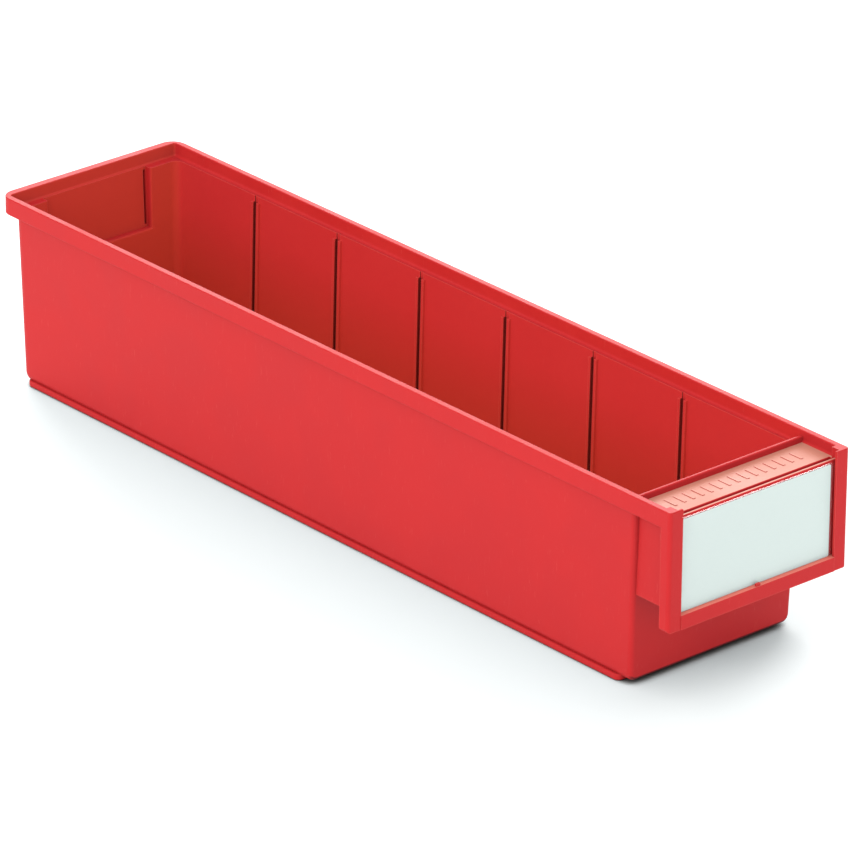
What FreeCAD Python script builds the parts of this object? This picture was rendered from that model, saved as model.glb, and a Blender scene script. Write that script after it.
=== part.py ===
import FreeCAD, Part
import os
import Sketcher

# Stackable storage bin: one moulded tray with a label holder on its front,
# a paper card and a clear cover that both drop into the holder from above.
# Axes: X runs across the bin, Y from the front (-) to the back (+), Z up.
# The origin lies on the shelf, under the middle of the bin.

doc = FreeCAD.newDocument("StorageBin")
sheet = doc.addObject("Spreadsheet::Sheet", "Sizes")
size = {}


def cell(alias, value):
    """Write one named size into the sheet and remember it."""
    row = len(size) + 1
    size[alias] = round(value, 3)
    sheet.set(f"A{row}", alias)
    sheet.set(f"B{row}", str(size[alias]))
    sheet.setAlias(f"B{row}", alias)


# Overall size of the bin.
cell("half_length", 200.0)
cell("half_width", 46.0)
cell("bin_height", 82.0)

# Thickness of the moulding.
cell("wall", 1.8)
cell("back_wall", 2.6)
cell("floor_thickness", 2.0)

# Runners under the tray: they lift its underside off the shelf and run up into its rounded edge.
cell("foot_height", 1.6)
cell("foot_top_z", 2.7)
cell("foot_inner_side", 35.9)
cell("foot_outer_side", 42.0)
cell("foot_front", 169.0)
cell("foot_back", 188.6)
cell("foot_end_radius", 2.6)
cell("foot_edge_radius", 0.8)
cell("foot_top_radius", 0.5)

# Heights, measured from the shelf.
cell("hollow_floor_z", size["foot_height"] + size["floor_thickness"])
cell("collar_bottom_z", 74.6)
cell("step_z", 76.3)
cell("ledge_z", 77.4)
cell("lip_z", 79.9)

# Draft of the walls: how far each face leans out per millimetre of height.
SIDE_DRAFT = 0.020
FRONT_DRAFT = 0.034
BACK_DRAFT = 0.030


def leaned(at_bottom, draft, height):
    """Distance of a drafted face from the centre at a height above the shelf."""
    return at_bottom + draft * (height - size["foot_height"])


# Outside faces of the tray at its underside and at the top of the front lip.
cell("shell_low_side", 41.4)
cell("shell_low_front", 174.8)
cell("shell_low_back", 192.6)
cell("shell_top_side", leaned(size["shell_low_side"], SIDE_DRAFT, size["lip_z"]))
cell("shell_top_front", leaned(size["shell_low_front"], FRONT_DRAFT, size["lip_z"]))
cell("shell_top_back", leaned(size["shell_low_back"], BACK_DRAFT, size["lip_z"]))
cell("underside_radius", 3.4)
cell("front_corner_radius", 2.0)
cell("back_corner_radius", 5.0)

# Inside faces of the tray: one wall thickness in from the outside faces.
cell("above_rim_z", size["bin_height"] + 1.0)
for level, height in (("low", size["hollow_floor_z"]), ("top", size["above_rim_z"])):
    for face, draft, wall in (("side", SIDE_DRAFT, "wall"), ("front", FRONT_DRAFT, "wall"),
                              ("back", BACK_DRAFT, "back_wall")):
        outside = leaned(size[f"shell_low_{face}"], draft, height)
        cell(f"hollow_{level}_{face}", outside - size[wall])
cell("hollow_corner_radius", 3.6)
cell("floor_radius", 3.0)

# Collar round the top, which the bin above sits in.
cell("collar_height", size["bin_height"] - size["collar_bottom_z"])
cell("collar_front_radius", 1.5)
cell("collar_back_radius", 6.5)
cell("collar_inner_side", 43.1)
cell("collar_inner_back", 196.3)
cell("collar_inner_back_radius", 1.2)
cell("step_depth", size["bin_height"] - size["step_z"])
cell("cove_radius", 1.1)
cell("rim_edge_radius", 0.45)
cell("collar_foot_radius", 0.5)

# Ledge and lip between the tray and the label holder.
cell("front_wall_top", leaned(size["shell_low_front"], FRONT_DRAFT, size["ledge_z"]))
cell("ledge_depth", size["bin_height"] - size["ledge_z"])
cell("lip_depth", size["bin_height"] - size["lip_z"])
cell("past_front", size["half_length"] + 2.0)
cell("past_side", size["half_width"] + 2.0)
cell("ledge_edge_radius", 0.6)
cell("panel_edge_radius", 0.5)

# Label holder.
cell("holder_bottom_z", 32.5)
cell("holder_depth", 5.2)
cell("holder_corner_radius", 1.6)
cell("window_half_width", 39.4)
cell("window_bottom_z", 38.4)
cell("window_depth", 1.3)
cell("slot_half_width", 41.4)
cell("slot_bottom_z", size["window_bottom_z"])
cell("slot_depth", 1.45)
cell("slot_front", size["half_length"] - size["window_depth"])
cell("slot_back", size["slot_front"] - size["slot_depth"])
cell("panel_top_z", 77.9)
cell("panel_thickness", 1.5)
cell("panel_back", size["slot_back"] - size["panel_thickness"])
cell("holder_back", size["half_length"] - size["holder_depth"])
cell("panel_top_cut", size["slot_back"] - size["holder_back"])
cell("groove_back", size["panel_back"] - 2.0)
cell("groove_floor_z", 75.6)
cell("groove_depth", size["bin_height"] - size["groove_floor_z"])
cell("rib_bottom_z", 73.6)
cell("rib_front", size["holder_back"] + 0.2)
cell("rib_back", size["groove_back"] - 2.0)
cell("rib_height", size["collar_bottom_z"] - size["rib_bottom_z"])
cell("panel_back_cut", size["panel_back"] - size["holder_back"])
cell("below_holder_z", size["holder_bottom_z"] - 1.0)
cell("nub_half_width", 1.0)
cell("nub_base_z", size["window_bottom_z"] - 0.2)
cell("nub_top_z", 39.6)
cell("nub_front", 199.8)
cell("nub_thickness", 0.8)
cell("post_setback", 0.3)

# Side cheeks that carry the label holder.
cell("cheek_inner_side", 38.6)
cell("cheek_outer_side", 40.4)
cell("cheek_bottom_z", 38.7)
cell("cheek_top_z", size["collar_bottom_z"] + 0.1)
cell("cheek_back", 175.8)
cell("cheek_length", size["rib_front"] - size["cheek_back"])

# Divider slots: pairs of ribs on both long walls, with a slot between them.
cell("slot_count", 6)
cell("slot_pitch", 51.0)
cell("slot_row_length", (size["slot_count"] - 1) * size["slot_pitch"])
FIRST_SLOT_Y = 141.6
DIVIDER_SLOT_WIDTH = 2.0
RIB_PAIR_WIDTH = 4.4
RIB_STANDS_OUT = 1.1
SLOT_INTO_WALL = 0.25
RIB_ROOT = 0.6
for name, width in (("divider", DIVIDER_SLOT_WIDTH), ("rib_pair", RIB_PAIR_WIDTH)):
    cell(f"{name}_front", FIRST_SLOT_Y - width / 2)
    cell(f"{name}_back", FIRST_SLOT_Y + width / 2)
cell("divider_cut_inner", 37.5)
for name, low_z, high_z in (("divider", 7.5, 77.0), ("rib_pair", 4.6, 73.8)):
    for level, height in (("low", low_z), ("high", high_z)):
        cell(f"{name}_{level}_z", height)
        wall_face = leaned(size["shell_low_side"], SIDE_DRAFT, height) - size["wall"]
        if name == "divider":
            cell(f"divider_{level}_outer", wall_face + SLOT_INTO_WALL)
        else:
            cell(f"rib_pair_{level}_inner", wall_face - RIB_STANDS_OUT)
            cell(f"rib_pair_{level}_outer", wall_face + RIB_ROOT)

# Recess in the back wall and the boss that carries it.
cell("recess_half_width", 26.8)
cell("recess_bottom_z", 50.0)
cell("recess_top_z", 77.6)
cell("recess_start", 188.0)
cell("recess_low_back", 194.4)
cell("recess_back", 195.6)
cell("recess_edge_radius", 0.9)
cell("slit_half_width", size["recess_half_width"] - 0.2)
cell("slit_inner_side", size["recess_half_width"] - 1.5)
cell("slit_bottom_z", 51.0)
cell("slit_top_z", 75.0)
cell("slit_depth", size["recess_back"] + 1.2 - size["recess_start"])
cell("boss_half_width", size["recess_half_width"] + size["wall"])
cell("boss_bottom_z", size["recess_bottom_z"] - size["wall"])
cell("boss_top_z", size["collar_bottom_z"] + 0.1)
cell("boss_start", 192.6)
cell("boss_back", 197.8)
cell("boss_depth", size["boss_back"] - size["boss_start"])
cell("boss_edge_radius", 1.2)

# Card and clear cover.
cell("card_half_width", 38.3)
cell("card_bottom_z", 38.5)
cell("card_top_z", 76.6)
cell("card_front", 197.75)
cell("card_thickness", 0.3)
cell("card_corner_radius", 0.6)
cell("cover_half_width", 41.1)
cell("cover_bottom_z", 38.5)
cell("cover_top_z", 77.5)
cell("cover_front", 198.6)
cell("cover_thickness", 0.6)
cell("cover_corner_radius", 1.0)

# Row of low plain ribs on the ledge.
cell("ledge_rib_count", 15)
cell("ledge_rib_pitch", 4.6)
cell("ledge_rib_row", (size["ledge_rib_count"] - 1) * size["ledge_rib_pitch"])
cell("ledge_rib_left", size["ledge_rib_row"] / 2 + 0.6)
cell("ledge_rib_right", size["ledge_rib_row"] / 2 - 0.6)
cell("ledge_rib_front", 188.2)
cell("ledge_rib_back", 181.8)
cell("ledge_rib_height", 0.2)
doc.recompute()

ORIGIN = (-1, 1)


def new_body(name):
    """Add a body whose label is the name of the piece."""
    body = doc.addObject("PartDesign::Body", name)
    body.Label = name
    return body


def plane(body, role):
    """Find one of the body's own origin planes by its role."""
    return [item for item in body.Origin.OriginFeatures if item.Role == role][0]


def new_sketch(body, name, role, offset=None, behind=False):
    """Add a sketch on an origin plane, moved off it by a named size."""
    sketch = body.newObject("Sketcher::SketchObject", name)
    sketch.AttachmentSupport = [(plane(body, role), "")]
    sketch.MapMode = "FlatFace"
    if offset:
        sign = "-" if behind else ""
        sketch.setExpression(".AttachmentOffset.Base.z", f"{sign}Sizes.{offset}")
    return sketch


def hold(sketch, kind, geometry, point, alias, side):
    """Hold a point at a named distance from the sketch origin, on one side of it."""
    ends = (ORIGIN, (geometry, point)) if side > 0 else ((geometry, point), ORIGIN)
    index = sketch.addConstraint(Sketcher.Constraint(kind, *ends[0], *ends[1], size[alias]))
    name = f"{kind}_{geometry}_{point}"
    sketch.renameConstraint(index, name)
    sketch.setExpression(f"Constraints.{name}", f"Sizes.{alias}")


def hold_radius(sketch, geometry, alias):
    """Give an arc a named radius."""
    index = sketch.addConstraint(Sketcher.Constraint("Radius", geometry, size[alias]))
    name = f"Radius_{geometry}"
    sketch.renameConstraint(index, name)
    sketch.setExpression(f"Constraints.{name}", f"Sizes.{alias}")


def side_of(signed):
    """Split '-name' or 'name' into a side of the origin and the plain name."""
    return (-1, signed[1:]) if signed.startswith("-") else (1, signed)


def where(signed):
    """Signed number behind '-name' or 'name'."""
    side, alias = side_of(signed)
    return side * size[alias]


def add_box(sketch, left, right, low, high):
    """Draw a square-cornered rectangle between four signed sizes."""
    x0, x1, y0, y1 = (where(edge) for edge in (left, right, low, high))
    corners = [(x0, y0), (x1, y0), (x1, y1), (x0, y1)]
    points = [FreeCAD.Vector(x, y, 0) for x, y in corners]
    first = sketch.GeometryCount
    for i in range(4):
        sketch.addGeometry(Part.LineSegment(points[i], points[(i + 1) % 4]), False)
    for i in range(4):
        after = first + (i + 1) % 4
        sketch.addConstraint(Sketcher.Constraint("Coincident", first + i, 2, after, 1))
    for i, kind in enumerate(("Horizontal", "Vertical", "Horizontal", "Vertical")):
        sketch.addConstraint(Sketcher.Constraint(kind, first + i))
    for kind, line, edge in (
        ("DistanceX", 3, left),
        ("DistanceX", 1, right),
        ("DistanceY", 0, low),
        ("DistanceY", 2, high),
    ):
        side, alias = side_of(edge)
        hold(sketch, kind, first + line, 1, alias, side)


def add_round_box(sketch, left, right, low, high, low_radius, high_radius):
    """Draw a rectangle with one radius on its low corners and one on its high corners."""
    x0, x1, y0, y1 = (where(edge) for edge in (left, right, low, high))
    a, b = size[low_radius], size[high_radius]
    first = sketch.GeometryCount
    V = FreeCAD.Vector
    quarter = 1.5707963267948966
    lines = [
        (V(x0 + a, y0, 0), V(x1 - a, y0, 0)),
        (V(x1, y0 + a, 0), V(x1, y1 - b, 0)),
        (V(x1 - b, y1, 0), V(x0 + b, y1, 0)),
        (V(x0, y1 - b, 0), V(x0, y0 + a, 0)),
    ]
    centres = [
        (V(x1 - a, y0 + a, 0), a),
        (V(x1 - b, y1 - b, 0), b),
        (V(x0 + b, y1 - b, 0), b),
        (V(x0 + a, y0 + a, 0), a),
    ]
    for i in range(4):
        sketch.addGeometry(Part.LineSegment(*lines[i]), False)
        circle = Part.Circle(centres[i][0], V(0, 0, 1), centres[i][1])
        start = (i - 1) * quarter
        sketch.addGeometry(Part.ArcOfCircle(circle, start, start + quarter), False)
    for i in range(4):
        line, arc = first + 2 * i, first + 2 * i + 1
        after = first + (2 * i + 2) % 8
        sketch.addConstraint(Sketcher.Constraint("Tangent", line, 2, arc, 1))
        sketch.addConstraint(Sketcher.Constraint("Tangent", arc, 2, after, 1))
    for i, kind in enumerate(("Horizontal", "Vertical", "Horizontal", "Vertical")):
        sketch.addConstraint(Sketcher.Constraint(kind, first + 2 * i))
    sketch.addConstraint(Sketcher.Constraint("Equal", first + 1, first + 7))
    sketch.addConstraint(Sketcher.Constraint("Equal", first + 3, first + 5))
    hold_radius(sketch, first + 1, low_radius)
    hold_radius(sketch, first + 3, high_radius)
    for kind, line, edge in (
        ("DistanceX", 6, left),
        ("DistanceX", 2, right),
        ("DistanceY", 0, low),
        ("DistanceY", 4, high),
    ):
        side, alias = side_of(edge)
        hold(sketch, kind, first + line, 1, alias, side)


def settle(body, feature):
    """Recompute and stop if the new feature did not build."""
    doc.recompute()
    state = [word for word in feature.State if word in ("Invalid", "Error")]
    if state or feature.Shape.isNull() or not feature.Shape.isValid():
        raise RuntimeError(f"{body.Label}: {feature.Label} did not build {feature.State}")
    solids = len(feature.Shape.Solids)
    print(f"{body.Label:12s} {feature.Label:18s} volume {feature.Shape.Volume:12.2f} solids {solids}")
    return feature


def pad(body, name, sketch, length, reverse=False):
    """Add material from a sketch by a named length."""
    feature = body.newObject("PartDesign::Pad", name)
    feature.Profile = sketch
    feature.Length = size[length]
    feature.setExpression("Length", f"Sizes.{length}")
    feature.Reversed = reverse
    sketch.Visibility = False
    return settle(body, feature)


def pocket(body, name, sketch, length, reverse=False):
    """Remove material from a sketch by a named depth; it must take something away."""
    before = body.Shape.Volume
    feature = body.newObject("PartDesign::Pocket", name)
    feature.Profile = sketch
    feature.Length = size[length]
    feature.setExpression("Length", f"Sizes.{length}")
    feature.Reversed = reverse
    sketch.Visibility = False
    settle(body, feature)
    if feature.Shape.Volume >= before - 0.01:
        raise RuntimeError(f"{name} cut nothing")
    return feature


def wedge(body, name, kind, bottom, top):
    """Drafted block, or drafted hollow, between a bottom and a top rectangle.

    Each rectangle is (height, left, right, front, back) as signed size names. The
    wedge stands on the front-view plane: its own Y is up and its own Z points to
    the front of the bin.
    """
    feature = body.newObject(f"PartDesign::{kind}", name)
    feature.AttachmentSupport = [(plane(body, "XZ_Plane"), "")]
    feature.MapMode = "FlatFace"
    for level, (height, left, right, front, back) in (("", bottom), ("2", top)):
        end = "Ymax" if level else "Ymin"
        sides = ((f"X{level}min", left, 1), (f"X{level}max", right, 1),
                 (f"Z{level}min", back, -1), (f"Z{level}max", front, -1), (end, height, 1))
        for prop, signed, flip in sides:
            setattr(feature, prop, flip * where(signed))
            side, alias = side_of(signed)
            sign = "-" if side * flip < 0 else ""
            feature.setExpression(prop, f"{sign}Sizes.{alias}")
    return settle(body, feature)


def fillet(body, name, radius, wanted):
    """Round every edge of the body that the test accepts."""
    base = body.Tip
    names = [f"Edge{i + 1}" for i, edge in enumerate(base.Shape.Edges) if wanted(edge)]
    if not names:
        raise RuntimeError(f"{name}: no edges found")
    feature = body.newObject("PartDesign::Fillet", name)
    feature.Base = (base, names)
    feature.Radius = size[radius]
    feature.setExpression("Radius", f"Sizes.{radius}")
    print(f"{name}: {len(names)} edges")
    return settle(body, feature)


def near(a, b, slack=0.02):
    """Two sizes that should be the same place."""
    return abs(a - b) < slack


def at_height(edge, height):
    """The whole edge lies at one height."""
    box = edge.BoundBox
    return near(box.ZMin, height) and near(box.ZMax, height)


def on_outline(edge, side, front, back):
    """The edge runs along the outline given by half width, front and back."""
    for spot in (edge.valueAt(edge.FirstParameter), edge.valueAt(edge.LastParameter)):
        on_side = near(abs(spot.x), side)
        on_end = near(spot.y, -front) or near(spot.y, back)
        if not on_side and not on_end:
            return False
    return True


# ---------------------------------------------------------------- bin body
body = new_body("bin_body")

# Solid block with the drafted outside faces of the tray.
wedge(body, "Shell", "AdditiveWedge",
      ("foot_height", "-shell_low_side", "shell_low_side", "-shell_low_front", "shell_low_back"),
      ("lip_z", "-shell_top_side", "shell_top_side", "-shell_top_front", "shell_top_back"))


# Collar round the top; it runs on past the front wall to the label holder.
outline = new_sketch(body, "CollarOutline", "XY_Plane", "collar_bottom_z")
add_round_box(outline, "-half_width", "half_width", "-half_length", "half_length",
              "collar_front_radius", "collar_back_radius")
pad(body, "Collar", outline, "collar_height")

# Hollow of the tray.
wedge(body, "Hollow", "SubtractiveWedge",
      ("hollow_floor_z", "-hollow_low_side", "hollow_low_side", "-hollow_low_front",
       "hollow_low_back"),
      ("above_rim_z", "-hollow_top_side", "hollow_top_side", "-hollow_top_front",
       "hollow_top_back"))


def is_hollow_corner(edge):
    """Upright edge in a corner of the hollow."""
    box = edge.BoundBox
    inside = abs(box.Center.x) < size["hollow_top_side"] + 0.1
    return inside and near(box.ZMin, size["hollow_floor_z"]) and box.ZLength > 50


fillet(body, "HollowCorner", "hollow_corner_radius", is_hollow_corner)
fillet(body, "FloorEdge", "floor_radius", lambda e: at_height(e, size["hollow_floor_z"]))


def is_long_edge(edge):
    """Long edge of the underside, running from front to back."""
    return at_height(edge, size["foot_height"]) and edge.BoundBox.YLength > 300


def on_face(edge, low_y, draft, sign):
    """The edge lies on the front (-1) or back (+1) face below the collar."""
    if at_height(edge, size["collar_bottom_z"]):
        return False
    for part in (0.0, 0.5, 1.0):
        first, last = edge.FirstParameter, edge.LastParameter
        spot = edge.valueAt(first + part * (last - first))
        if not near(sign * spot.y, leaned(low_y, draft, spot.z)):
            return False
    return True


fillet(body, "UndersideEdge", "underside_radius", is_long_edge)
fillet(body, "FrontCorner", "front_corner_radius",
       lambda e: on_face(e, size["shell_low_front"], FRONT_DRAFT, -1))
fillet(body, "BackCorner", "back_corner_radius",
       lambda e: on_face(e, size["shell_low_back"], BACK_DRAFT, 1))

# Wider opening inside the collar, down to the step the next bin rests on.
opening = new_sketch(body, "CollarOpening", "XY_Plane", "bin_height")
add_box(opening, "-collar_inner_side", "collar_inner_side", "-hollow_top_front",
        "collar_inner_back")
pocket(body, "StackingStep", opening, "step_depth")
fillet(body, "OpeningCorner", "collar_inner_back_radius",
       lambda e: near(e.BoundBox.YMin, size["collar_inner_back"]) and e.BoundBox.YLength < 0.01
       and e.BoundBox.ZLength > 3)

# Open space above the ledge, and above the lip of the front wall.
above = new_sketch(body, "AboveLedge", "XY_Plane", "bin_height")
add_box(above, "-collar_inner_side", "collar_inner_side", "-past_front", "-front_wall_top")
pocket(body, "Ledge", above, "ledge_depth")
above = new_sketch(body, "AboveLip", "XY_Plane", "bin_height")
add_box(above, "-collar_inner_side", "collar_inner_side", "-front_wall_top", "-hollow_top_front")
pocket(body, "Lip", above, "lip_depth")


def is_cove(edge):
    """Inside edge where the step or the ledge meets the upright face of the collar."""
    box = edge.BoundBox
    if at_height(edge, size["ledge_z"]):
        return near(abs(box.Center.x), size["collar_inner_side"]) and box.YLength > 15
    if not at_height(edge, size["step_z"]) or box.YMax < -170:
        return False
    return on_outline(edge, size["collar_inner_side"], -1000, size["collar_inner_back"])


fillet(body, "Cove", "cove_radius", is_cove)

# Label holder: a frame in front of the tray, open upwards.
front = new_sketch(body, "HolderFront", "XZ_Plane", "half_length")
add_box(front, "-half_width", "half_width", "holder_bottom_z", "bin_height")
pad(body, "Holder", front, "holder_depth", reverse=True)

# Window, slot for the card and the cover, and the panel behind them.
window = new_sketch(body, "Window", "XZ_Plane", "half_length")
add_box(window, "-window_half_width", "window_half_width", "window_bottom_z", "above_rim_z")
pocket(body, "LabelWindow", window, "window_depth")
slot = new_sketch(body, "Slot", "XZ_Plane", "slot_front")
add_box(slot, "-slot_half_width", "slot_half_width", "slot_bottom_z", "above_rim_z")
pocket(body, "LabelSlot", slot, "slot_depth")

# The posts on each side of the window stand back a little from the bar under it.
posts = new_sketch(body, "Posts", "XZ_Plane", "half_length")
add_box(posts, "-past_side", "-window_half_width", "below_holder_z", "above_rim_z")
add_box(posts, "window_half_width", "past_side", "below_holder_z", "above_rim_z")
pocket(body, "PostFaces", posts, "post_setback")
top = new_sketch(body, "AbovePanel", "XZ_Plane", "slot_back")
add_box(top, "-slot_half_width", "slot_half_width", "panel_top_z", "above_rim_z")
pocket(body, "PanelTop", top, "panel_top_cut")

# Groove between the panel and the ledge, with a rib under its floor.
rib = new_sketch(body, "Rib", "XY_Plane", "rib_bottom_z")
add_box(rib, "-cheek_outer_side", "cheek_outer_side", "-rib_front", "-rib_back")
pad(body, "LedgeRib", rib, "rib_height")
groove = new_sketch(body, "Groove", "XY_Plane", "bin_height")
add_box(groove, "-slot_half_width", "slot_half_width", "-panel_back", "-groove_back")
pocket(body, "LedgeGroove", groove, "groove_depth")

# Finger space behind the panel, closed at each side by a cheek.
back = new_sketch(body, "BehindPanel", "XZ_Plane", "holder_back")
add_box(back, "-cheek_inner_side", "cheek_inner_side", "below_holder_z", "rib_bottom_z")
pocket(body, "FingerSpace", back, "panel_back_cut", reverse=True)
cheeks = new_sketch(body, "Cheek", "XZ_Plane", "rib_front")
add_box(cheeks, "cheek_inner_side", "cheek_outer_side", "cheek_bottom_z", "cheek_top_z")
add_box(cheeks, "-cheek_outer_side", "-cheek_inner_side", "cheek_bottom_z", "cheek_top_z")
pad(body, "Cheeks", cheeks, "cheek_length", reverse=True)

# Small nub that keeps the cover down.
nub = new_sketch(body, "NubFront", "XZ_Plane", "nub_front")
add_box(nub, "-nub_half_width", "nub_half_width", "nub_base_z", "nub_top_z")
pad(body, "Nub", nub, "nub_thickness", reverse=True)

# Row of low plain ribs on the ledge: one is added, then repeated across the bin.
low_rib = new_sketch(body, "LedgeRibOutline", "XY_Plane", "ledge_z")
add_box(low_rib, "-ledge_rib_left", "-ledge_rib_right", "-ledge_rib_front", "-ledge_rib_back")
first_rib = pad(body, "LedgeRibPad", low_rib, "ledge_rib_height")
row = body.newObject("PartDesign::LinearPattern", "LedgeRibs")
row.Originals = [first_rib]
row.Direction = (plane(body, "X_Axis"), [""])
row.Length = size["ledge_rib_row"]
row.setExpression("Length", "Sizes.ledge_rib_row")
row.Occurrences = int(size["ledge_rib_count"])
row.setExpression("Occurrences", "Sizes.ledge_rib_count")
body.Tip = row
settle(body, row)

# Boss on the back wall, hollowed from inside.
boss = new_sketch(body, "BossOutline", "XZ_Plane", "boss_start", behind=True)
add_box(boss, "-boss_half_width", "boss_half_width", "boss_bottom_z", "boss_top_z")
pad(body, "BackBoss", boss, "boss_depth", reverse=True)
fillet(body, "BossEdge", "boss_edge_radius",
       lambda e: near(e.BoundBox.YMin, size["boss_back"])
       and not near(e.BoundBox.ZMin, size["collar_bottom_z"]))
wedge(body, "BackRecess", "SubtractiveWedge",
      ("recess_bottom_z", "-recess_half_width", "recess_half_width",
       "recess_start", "recess_low_back"),
      ("recess_top_z", "-recess_half_width", "recess_half_width", "recess_start", "recess_back"))


def is_recess_mouth(edge):
    """Edge where the recess opens into the back wall, at its sides and its bottom."""
    box = edge.BoundBox
    if box.YMax > size["recess_low_back"] - 0.5 or box.YMin < size["recess_start"] + 1.0:
        return False
    upright = near(abs(box.Center.x), size["recess_half_width"]) and box.ZLength > 15
    return upright or (at_height(edge, size["recess_bottom_z"]) and box.XLength > 40)


fillet(body, "RecessEdge", "recess_edge_radius", is_recess_mouth)

# Narrow slit along each side of the recess.
slits = new_sketch(body, "Slits", "XZ_Plane", "recess_start", behind=True)
add_box(slits, "slit_inner_side", "slit_half_width", "slit_bottom_z", "slit_top_z")
add_box(slits, "-slit_half_width", "-slit_inner_side", "slit_bottom_z", "slit_top_z")
pocket(body, "RecessSlits", slits, "slit_depth")

# Divider slots: one pair of ribs and its slot, repeated along the wall and mirrored.
rib_pair = wedge(body, "RibPair", "AdditiveWedge",
                 ("rib_pair_low_z", "rib_pair_low_inner", "rib_pair_low_outer",
                  "rib_pair_front", "rib_pair_back"),
                 ("rib_pair_high_z", "rib_pair_high_inner", "rib_pair_high_outer",
                  "rib_pair_front", "rib_pair_back"))
divider = wedge(body, "DividerSlot", "SubtractiveWedge",
                ("divider_low_z", "divider_cut_inner", "divider_low_outer",
                 "divider_front", "divider_back"),
                ("divider_high_z", "divider_cut_inner", "divider_high_outer",
                 "divider_front", "divider_back"))
rows = body.newObject("PartDesign::MultiTransform", "DividerSlots")
rows.Originals = [rib_pair, divider]
along = body.newObject("PartDesign::LinearPattern", "AlongWall")
along.Direction = (plane(body, "Y_Axis"), [""])
along.Reversed = True
along.Length = size["slot_row_length"]
along.setExpression("Length", "Sizes.slot_row_length")
along.Occurrences = int(size["slot_count"])
along.setExpression("Occurrences", "Sizes.slot_count")
across = body.newObject("PartDesign::Mirrored", "OtherWall")
across.MirrorPlane = (plane(body, "YZ_Plane"), [""])
rows.Transformations = [along, across]
body.Tip = rows
settle(body, rows)

# Runners the bin stands on.
feet = new_sketch(body, "Foot", "XY_Plane")
add_round_box(feet, "foot_inner_side", "foot_outer_side", "-foot_front", "foot_back",
              "foot_end_radius", "foot_end_radius")
add_round_box(feet, "-foot_outer_side", "-foot_inner_side", "-foot_front", "foot_back",
              "foot_end_radius", "foot_end_radius")
pad(body, "Runners", feet, "foot_top_z")


# Rounded edges.
def is_rim_edge(edge):
    """Outer and inner edge of the rim's top face, behind the label holder."""
    if not at_height(edge, size["bin_height"]):
        return False
    box = edge.BoundBox
    if box.YLength < 1.0 and box.YMax < -150:
        return False
    return (on_outline(edge, size["half_width"], size["half_length"], size["half_length"])
            or on_outline(edge, size["collar_inner_side"], -1000, size["collar_inner_back"]))


def is_collar_foot(edge):
    """Outer lower edge of the collar."""
    return (at_height(edge, size["collar_bottom_z"])
            and on_outline(edge, size["half_width"], -1000, size["half_length"]))


def is_holder_corner(edge):
    """Upright front corner of the label holder, or its lower corner on each side."""
    box = edge.BoundBox
    face = size["post_setback"] - size["half_length"]
    if not near(abs(box.Center.x), size["half_width"]) or not near(box.YMin, face):
        return False
    return box.ZLength > 30 or at_height(edge, size["holder_bottom_z"])


def is_across(edge, height, y=None):
    """Long edge running across the bin at a height, and at one distance if given."""
    box = edge.BoundBox
    here = y is None or near(box.Center.y, y)
    return box.XLength > 60 and at_height(edge, height) and here


fillet(body, "HolderCorner", "holder_corner_radius", is_holder_corner)
fillet(body, "LipEdge", "ledge_edge_radius", lambda e: is_across(e, size["lip_z"]))
fillet(body, "PanelEdge", "panel_edge_radius", lambda e: is_across(e, size["panel_top_z"]))
fillet(body, "LedgeEdge", "ledge_edge_radius",
       lambda e: is_across(e, size["ledge_z"], -size["groove_back"]))
fillet(body, "RunnerEdge", "foot_edge_radius", lambda e: at_height(e, 0.0))
fillet(body, "RunnerTop", "foot_top_radius",
       lambda e: at_height(e, size["foot_top_z"]) and near(abs(e.BoundBox.Center.x),
                                                           size["foot_outer_side"]))
fillet(body, "CollarFoot", "collar_foot_radius", is_collar_foot)
fillet(body, "RimEdge", "rim_edge_radius", is_rim_edge)

# ------------------------------------------------------- card and clear cover
pieces = [body]
for piece in ("card", "cover"):
    flat = new_body(f"label_{piece}")
    face = new_sketch(flat, f"{piece.title()}Face", "XZ_Plane", f"{piece}_front")
    add_round_box(face, f"-{piece}_half_width", f"{piece}_half_width",
                  f"{piece}_bottom_z", f"{piece}_top_z",
                  f"{piece}_corner_radius", f"{piece}_corner_radius")
    pad(flat, f"{piece.title()}Sheet", face, f"{piece}_thickness", reverse=True)
    pieces.append(flat)

# ---------------------------------------------------------------- export
doc.recompute()
for item in doc.Objects:
    if "Invalid" in item.State or "Error" in item.State:
        raise RuntimeError(f"{item.Label} is not right: {item.State}")
os.makedirs("parts", exist_ok=True)
for piece in pieces:
    shape = piece.Shape
    if shape.isNull() or not shape.isValid() or len(shape.Solids) != 1:
        raise RuntimeError(f"{piece.Label} is not one good solid")
    shape.exportStep(f"parts/{piece.Label}.step")
    print(piece.Label, shape.BoundBox, round(shape.Volume, 1))
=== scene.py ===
"""Looks of the stackable storage bin: materials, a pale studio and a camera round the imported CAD."""

import math

import bpy
from mathutils import Matrix, Vector


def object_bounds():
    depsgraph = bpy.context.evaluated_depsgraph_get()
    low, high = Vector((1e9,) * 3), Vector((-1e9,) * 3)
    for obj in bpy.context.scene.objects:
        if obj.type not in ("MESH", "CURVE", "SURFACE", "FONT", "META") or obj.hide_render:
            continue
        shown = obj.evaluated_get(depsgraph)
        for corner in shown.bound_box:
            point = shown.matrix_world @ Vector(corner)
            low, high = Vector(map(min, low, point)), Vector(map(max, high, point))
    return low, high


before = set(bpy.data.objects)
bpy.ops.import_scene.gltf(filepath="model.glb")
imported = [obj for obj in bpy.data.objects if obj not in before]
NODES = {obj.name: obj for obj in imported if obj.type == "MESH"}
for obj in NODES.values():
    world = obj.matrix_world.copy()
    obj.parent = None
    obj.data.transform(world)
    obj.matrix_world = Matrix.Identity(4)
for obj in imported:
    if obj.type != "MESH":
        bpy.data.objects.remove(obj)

CAD_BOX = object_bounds()
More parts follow.
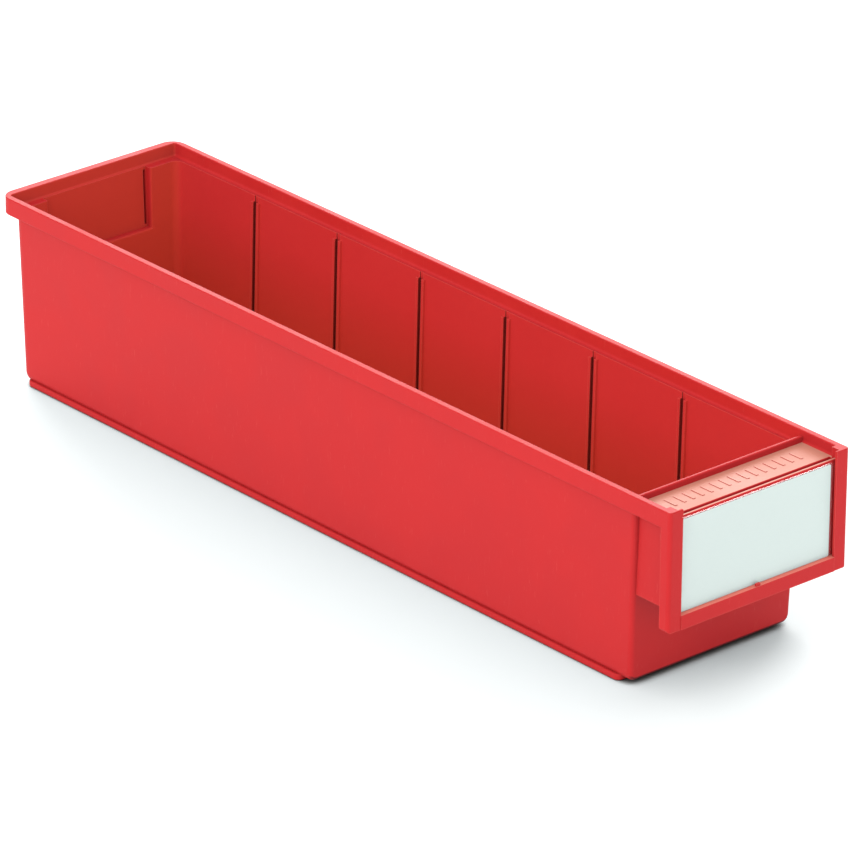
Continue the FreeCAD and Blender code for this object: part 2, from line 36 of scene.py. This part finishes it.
MILLIMETRE = 0.001

# Places on the bin that the red plastic's colour follows.
LEDGE_HEIGHT = 77.4 * MILLIMETRE
SILL_HEIGHT = 38.4 * MILLIMETRE
FIRST_SLOT = 141.6 * MILLIMETRE
SLOT_PITCH = 51.0 * MILLIMETRE
SLOT_HALF_WIDTH = 1.05 * MILLIMETRE
SLOT_WALL = 37.8 * MILLIMETRE
BACK_END = 180 * MILLIMETRE

# How far the tray's walls lean outwards for each unit of height, and where the middle of each
# wall would meet the shelf. Those middles, and one in the floor, part inner faces from outer ones.
SIDE_DRAFT, FRONT_DRAFT, BACK_DRAFT = 0.020, 0.034, 0.030
MID_SIDE = 40.6 * MILLIMETRE
MID_FRONT = -173.9 * MILLIMETRE
MID_BACK = 191.3 * MILLIMETRE
MID_FLOOR = 3.0 * MILLIMETRE

# Colours are linear red, green, blue and alpha.
RED_DARKER, RED_LIGHTER = (0.665, 0.020, 0.023, 1), (0.695, 0.023, 0.025, 1)
RED_SCUFFED = (0.80, 0.10, 0.09, 1)
# Painted light: warmer tints for the shaded inside of the tray and its back wall.
RED_TRAY_LOW_SHADE_TINT, RED_TRAY_HIGH_SHADE_TINT = (0.66, 0.043, 0.029, 1), (0.68, 0.028, 0.034, 1)
RED_BACK_WALL_SHADE_TINT = (0.68, 0.043, 0.031, 1)
# Painted highlight for rounded edges.
RED_EDGE_HIGHLIGHT = (0.95, 0.20, 0.16, 1)
# Painted shade for the divider slots and crevices.
RED_CREVICE_SHADE = (0.10, 0.004, 0.006, 1)
# Painted shade for the down-turned lower edge of the front wall.
RED_UNDER_FRONT_SHADE = (0.16, 0.008, 0.010, 1)
# Painted sheen: the pale pink of the ledge stands in for its reflection of the light.
RED_LEDGE_SHEEN = (0.75, 0.275, 0.195, 1)
# Painted sheen for the sill in front of the label window.
RED_SILL_SHEEN = (0.92, 0.21, 0.16, 1)
BOUNCE_OUTSIDE, BOUNCE_INSIDE = (0.27, 0.29, 0.30, 1), (0.74, 0.62, 0.42, 1)
CARD_DARKER, CARD_LIGHTER = (0.80, 0.855, 0.82, 1), (0.84, 0.89, 0.85, 1)
CLEAR_TINT, WHITE = (0.995, 1, 1, 1), (1, 1, 1, 1)
FLOOR_BOUNCE, FLOOR_SEEN = (0.90, 0.98, 0.99, 1), (1.13, 1.16, 1.16, 1)
# Painted shadow on the floor where the bin all but touches it.
FLOOR_CONTACT_SHADE = (0.10, 0.075, 0.07, 1)

# The camera: angles in degrees, distance in metres, lens in millimetres on a 36 mm sensor.
AZIMUTH, ELEVATION, ROLL = -41.337, 24.415, 0.501
DISTANCE = 3.0456
LENS, SENSOR = 328.7, 36.0
AIM_RIGHT, AIM_UP = 6.436 * MILLIMETRE, -5.083 * MILLIMETRE

WORLD_LIGHT, WORLD_SEEN = 0.78, 1.2


class Nodes:
    """Adds and joins the nodes of one material."""

    def __init__(self, name):
        self.material = bpy.data.materials.new(name)
        self.material.use_nodes = True
        self.tree = self.material.node_tree
        self.tree.nodes.clear()
        self.output = self.tree.nodes.new("ShaderNodeOutputMaterial")

    def put(self, socket, value):
        """Joins another node's output to a socket, or sets the socket to a plain value."""
        if isinstance(value, bpy.types.NodeSocket):
            self.tree.links.new(value, socket)
        else:
            socket.default_value = value

    def add(self, kind, settings=None, **inputs):
        """A new node. settings are its own properties and inputs its sockets, by name with _ for a space."""
        node = self.tree.nodes.new(kind)
        for key, value in (settings or {}).items():
            setattr(node, key, value)
        for key, value in inputs.items():
            self.put(node.inputs[key.replace("_", " ")], value)
        return node

    def sum(self, operation, first, second=0.0, third=0.0):
        """One step of arithmetic."""
        node = self.add("ShaderNodeMath", {"operation": operation})
        for socket, value in zip(node.inputs, (first, second, third)):
            self.put(socket, value)
        return node.outputs[0]

    def both(self, first, second):
        """The product of two values, which is 1 only where both are."""
        return self.sum("MULTIPLY", first, second)

    def spread(self, value, low, high, bottom=0.0, top=1.0):
        """Value stretched from low..high to bottom..top, smoothly, and held there."""
        node = self.add("ShaderNodeMapRange", {"interpolation_type": "SMOOTHSTEP"})
        for name, number in zip(("Value", "From Min", "From Max", "To Min", "To Max"),
                                (value, low, high, bottom, top)):
            self.put(node.inputs[name], number)
        return node.outputs["Result"]

    def noise(self, size, detail=3.0, roughness=0.5, stretch=(1, 1, 1)):
        """Noise with lumps about size mm across, longer along an axis whose stretch is above 1."""
        place = self.add("ShaderNodeTexCoord").outputs["Object"]
        scaled = self.add("ShaderNodeMapping", Vector=place)
        scaled.inputs["Scale"].default_value = [1 / (size * MILLIMETRE * s) for s in stretch]
        made = self.add("ShaderNodeTexNoise", Vector=scaled.outputs["Vector"], Scale=1.0,
                        Detail=detail, Roughness=roughness)
        return made.outputs["Fac"]

    def mix(self, share, first, second):
        """A colour between first and second."""
        node = self.add("ShaderNodeMix", {"data_type": "RGBA"})
        for index, value in ((0, share), (6, first), (7, second)):
            self.put(node.inputs[index], value)
        return node.outputs[2]

    def bump(self, height, depth, before=None):
        """A normal for a height from 0 to 1 that stands depth mm tall."""
        node = self.add("ShaderNodeBump", Height=height, Strength=1.0, Distance=depth * MILLIMETRE)
        if before is not None:
            self.put(node.inputs["Normal"], before)
        return node.outputs["Normal"]

    def openness(self, reach, **settings):
        """How open the surroundings are within reach mm: 0 is closed in and 1 is open."""
        node = self.add("ShaderNodeAmbientOcclusion", {"samples": 8, **settings},
                        Distance=reach * MILLIMETRE)
        return node.outputs["AO"]

    def finish(self, shader):
        """Ends the material with a shader."""
        self.put(self.output.inputs["Surface"], shader.outputs[0])
        return self.material


def inside_tray(m, x, y, z):
    """1 on the inner faces of the tray and 0 on its outer faces, which lean with the height."""
    side = m.sum("SUBTRACT", m.sum("ABSOLUTE", x), m.sum("MULTIPLY", z, SIDE_DRAFT))
    front = m.sum("MULTIPLY_ADD", z, FRONT_DRAFT, y)
    back = m.sum("SUBTRACT", y, m.sum("MULTIPLY", z, BACK_DRAFT))
    inside = 1.0
    for comparison, place, limit in (("LESS_THAN", side, MID_SIDE),
                                     ("GREATER_THAN", front, MID_FRONT),
                                     ("LESS_THAN", back, MID_BACK),
                                     ("GREATER_THAN", z, MID_FLOOR)):
        inside = m.both(inside, m.sum(comparison, place, limit))
    return inside


def in_divider_slot(m, x, y):
    """1 within the width of a divider slot, close to a long wall."""
    turn = m.sum("DIVIDE", m.sum("SUBTRACT", y, FIRST_SLOT), SLOT_PITCH)
    off_centre = m.sum("ABSOLUTE", m.sum("SUBTRACT", turn, m.sum("ROUND", turn)))
    narrow = m.sum("LESS_THAN", off_centre, SLOT_HALF_WIDTH / SLOT_PITCH)
    at_wall = m.sum("GREATER_THAN", m.sum("ABSOLUTE", x), SLOT_WALL)
    return m.both(narrow, at_wall)


def edge_highlight_mask(m, surface, open_air):
    """1 along an outer edge, where the surface rounded by half a millimetre turns away from the flat one:
    where a painted highlight goes.
    """
    rounded = m.add("ShaderNodeBevel", {"samples": 4}, Radius=0.5 * MILLIMETRE).outputs["Normal"]
    turned = m.add("ShaderNodeVectorMath", {"operation": "DOT_PRODUCT"})
    m.put(turned.inputs[0], rounded)
    m.put(turned.inputs[1], surface.outputs["True Normal"])
    return m.both(m.spread(turned.outputs["Value"], 0.80, 0.985, 1, 0), m.spread(open_air, 0.6, 0.9))


def red_plastic():
    """Moulded polypropylene: fine grain, faint mottling and a few scuffs, with painted light: highlights
    along edges, shade in slots, crevices and under the front, sheen on the ledge and sill, a warmer tint
    inside.
    """
    m = Nodes("red_polypropylene_moulded")
    place = m.add("ShaderNodeTexCoord").outputs["Object"]
    x, y, z = m.add("ShaderNodeSeparateXYZ", Vector=place).outputs
    surface = m.add("ShaderNodeNewGeometry")
    facing = m.add("ShaderNodeSeparateXYZ", Vector=surface.outputs["Normal"]).outputs
    facing_front = m.spread(facing["Y"], -0.15, -0.95)
    facing_up = m.spread(facing["Z"], 0.9, 0.98)
    facing_down = m.spread(facing["Z"], -0.15, -0.45)
    inside = inside_tray(m, x, y, z)
    open_air = m.openness(2.2, only_local=True)
    grain = m.noise(0.55, 2.0)
    ripple = m.noise(28, 2.0)
    mottling = m.spread(ripple, 0.3, 0.7)
    scuffs = m.spread(m.noise(6, 5.0, 0.7, (0.15, 0.15, 1)), 0.60, 0.72)

    # Painted light: the shaded inner faces get a warmer tint, most of all low down and on the back wall.
    tray = m.mix(m.spread(z, 10 * MILLIMETRE, 65 * MILLIMETRE), RED_TRAY_LOW_SHADE_TINT, RED_TRAY_HIGH_SHADE_TINT)
    back_wall_tint_mask = m.both(facing_front, m.sum("GREATER_THAN", y, BACK_END))
    # Painted shade in the divider slots and in crevices, where the surface is closed in.
    slot_shade = m.both(m.spread(open_air, 0.45, 0.95, 1, 0), in_divider_slot(m, x, y))
    crevice_shade = m.sum("MAXIMUM", m.spread(open_air, 0.22, 0.5, 1, 0), slot_shade)
    # The ledge is a little glossier, and its colour also gets a painted sheen.
    glossy_ledge_and_sheen = m.both(m.sum("COMPARE", z, LEDGE_HEIGHT, 0.6 * MILLIMETRE), facing_up)
    # Painted sheen on the sill in front of the label window.
    sill = m.both(m.sum("COMPARE", z, SILL_HEIGHT, 0.3 * MILLIMETRE), facing_up)

    colour = m.mix(mottling, RED_DARKER, RED_LIGHTER)
    for share, tint in ((m.both(scuffs, 0.35), RED_SCUFFED),
                        # Painted warmer tint inside the tray, and on its back wall.
                        (m.both(inside, 0.8), tray),
                        (back_wall_tint_mask, RED_BACK_WALL_SHADE_TINT),
                        # Painted highlight along rounded edges.
                        (m.both(edge_highlight_mask(m, surface, open_air), 0.4), RED_EDGE_HIGHLIGHT),
                        # Painted shade in crevices and divider slots inside the tray.
                        (m.both(crevice_shade, inside), RED_CREVICE_SHADE),
                        # Painted shade on the down-turned lower edge of the front wall.
                        (m.both(facing_down, facing_front), RED_UNDER_FRONT_SHADE),
                        # Painted sheen on the ledge, standing in for its reflection.
                        (glossy_ledge_and_sheen, RED_LEDGE_SHEEN),
                        # Painted sheen on the sill.
                        (sill, RED_SILL_SHEEN)):
        colour = m.mix(share, colour, tint)

    # Light that bounces off the bin is grey outside and pale gold inside, so nothing near it turns pink.
    bounced = m.add("ShaderNodeLightPath").outputs["Is Diffuse Ray"]
    colour = m.mix(bounced, colour, m.mix(inside, BOUNCE_OUTSIDE, BOUNCE_INSIDE))

    roughness = m.sum("ADD", m.spread(ripple, 0.3, 0.7, 0.42, 0.50), m.both(grain, 0.08))
    shader = m.add("ShaderNodeBsdfPrincipled", Base_Color=colour, Roughness=roughness, IOR=1.49,
                   Normal=m.bump(grain, 0.008, m.bump(ripple, 0.02)))
    m.put(shader.inputs["Specular IOR Level"], m.spread(glossy_ledge_and_sheen, 0, 1, 0.2, 0.3))
    return m.finish(shader)


def card_paper():
    """Uncoated white card."""
    m = Nodes("label_paper_fibre")
    fibre = m.noise(0.4, 4.0, 0.6, (3, 1, 1))
    return m.finish(m.add("ShaderNodeBsdfPrincipled", Base_Color=m.mix(fibre, CARD_DARKER, CARD_LIGHTER),
                          Roughness=0.75, Normal=m.bump(fibre, 0.01)))


def clear_sheet():
    """Thin clear plastic: mostly see-through, with a soft sheen that grows at a flat angle."""
    m = Nodes("clear_plastic_sheet")
    haze = m.noise(18, 3.0)
    far_face = m.add("ShaderNodeNewGeometry").outputs["Backfacing"]
    fresnel = m.add("ShaderNodeFresnel", IOR=1.45).outputs[0]
    shader = m.add("ShaderNodeMixShader", Fac=m.both(fresnel, m.sum("SUBTRACT", 1.0, far_face)))
    clear = m.add("ShaderNodeBsdfTransparent", Color=CLEAR_TINT)
    gloss = m.add("ShaderNodeBsdfGlossy", Color=WHITE, Roughness=m.spread(haze, 0.3, 0.7, 0.12, 0.2))
    m.put(shader.inputs[1], clear.outputs[0])
    m.put(shader.inputs[2], gloss.outputs[0])
    return m.finish(shader)


def finish_node(name, material):
    """Gives every slot of a carried-over CAD node the material."""
    node = NODES[name]
    if not node.material_slots:
        node.data.materials.append(material)
    for slot in node.material_slots:
        slot.link = "OBJECT"
        slot.material = material


def studio_floor(centre, side=12.0):
    """A plain pale floor under the bin, with a painted shadow darkest where the bin all but touches it."""
    half = side / 2
    mesh = bpy.data.meshes.new("studio_floor")
    corners = [(centre.x + x * half, centre.y + y * half, 0.0) for x, y in
               ((-1, -1), (1, -1), (1, 1), (-1, 1))]
    mesh.from_pydata(corners, [], [(0, 1, 2, 3)])
    floor = bpy.data.objects.new("studio_floor", mesh)
    bpy.context.scene.collection.objects.link(floor)
    m = Nodes("pale_floor")
    seen = m.add("ShaderNodeLightPath").outputs["Is Camera Ray"]
    # Painted shadow: the floor is darkened where little of its surroundings is open.
    contact_shade = m.spread(m.openness(5), 0.15, 0.8, 1, 0)
    colour = m.mix(contact_shade, m.mix(seen, FLOOR_BOUNCE, FLOOR_SEEN), FLOOR_CONTACT_SHADE)
    shader = m.add("ShaderNodeBsdfPrincipled", Base_Color=colour, Roughness=0.9)
    shader.inputs["Specular IOR Level"].default_value = 0.0
    mesh.materials.append(m.finish(shader))


def direction(azimuth, elevation):
    """The unit vector from the object towards a viewer: azimuth 0 is in front, 90 at +X."""
    a, e = math.radians(azimuth), math.radians(elevation)
    return Vector((math.sin(a) * math.cos(e), -math.cos(a) * math.cos(e), math.sin(e)))


def soft_light(name, target, azimuth, elevation, distance, size, power, shine=1.0):
    """A soft box that looks at the target from an azimuth and elevation, in degrees.

    distance and size are in metres and power is in watts. shine scales its mirror-like part.
    """
    data = bpy.data.lights.new(name, "AREA")
    data.shape = "RECTANGLE"
    data.size, data.size_y = size
    data.energy = power
    data.specular_factor = shine
    lamp = bpy.data.objects.new(name, data)
    lamp.visible_camera = False
    towards = direction(azimuth, elevation)
    lamp.location = target + towards * distance
    lamp.rotation_euler = towards.to_track_quat("Z", "Y").to_euler()
    bpy.context.scene.collection.objects.link(lamp)


def studio_world():
    """Even white surroundings, brighter to the camera than as a light."""
    world = bpy.data.worlds.new("studio_world")
    world.use_nodes = True
    tree = world.node_tree
    background = tree.nodes["Background"]
    background.inputs["Color"].default_value = WHITE
    seen = tree.nodes.new("ShaderNodeLightPath").outputs["Is Camera Ray"]
    level = tree.nodes.new("ShaderNodeMix")
    level.inputs[2].default_value = WORLD_LIGHT
    level.inputs[3].default_value = WORLD_SEEN
    tree.links.new(seen, level.inputs[0])
    tree.links.new(level.outputs[0], background.inputs["Strength"])
    bpy.context.scene.world = world


def camera(centre):
    """The camera, far off and with a long lens, from the front left and a little above."""
    data = bpy.data.cameras.new("camera")
    data.lens = LENS
    data.sensor_width = SENSOR
    data.clip_start, data.clip_end = 0.1, 100.0
    eye = bpy.data.objects.new("camera", data)
    back = direction(AZIMUTH, ELEVATION)
    level = Vector((0, 0, 1)).cross(back).normalized()
    right = Matrix.Rotation(math.radians(ROLL), 3, back) @ level
    up = back.cross(right)
    matrix = Matrix((right, up, back)).transposed().to_4x4()
    matrix.translation = centre + right * AIM_RIGHT + up * AIM_UP + back * DISTANCE
    eye.matrix_world = matrix
    bpy.context.scene.collection.objects.link(eye)
    bpy.context.scene.camera = eye


centre = (CAD_BOX[0] + CAD_BOX[1]) / 2
finish_node("bin_body", red_plastic())
finish_node("label_card", card_paper())
finish_node("label_cover", clear_sheet())

studio_floor(centre)
studio_world()
soft_light("key_left", centre, azimuth=-78, elevation=30, distance=2.2, size=(1.6, 1.2), power=15)
soft_light("overhead", centre, azimuth=-30, elevation=80, distance=2.0, size=(1.6, 1.6), power=3)
soft_light("back_wash", centre, azimuth=138.7, elevation=25, distance=2.6, size=(2.4, 1.0), power=52,
           shine=0.4)
camera(centre)
bpy.context.scene.view_settings.view_transform = "Standard"
bpy.context.scene.view_settings.look = "None"
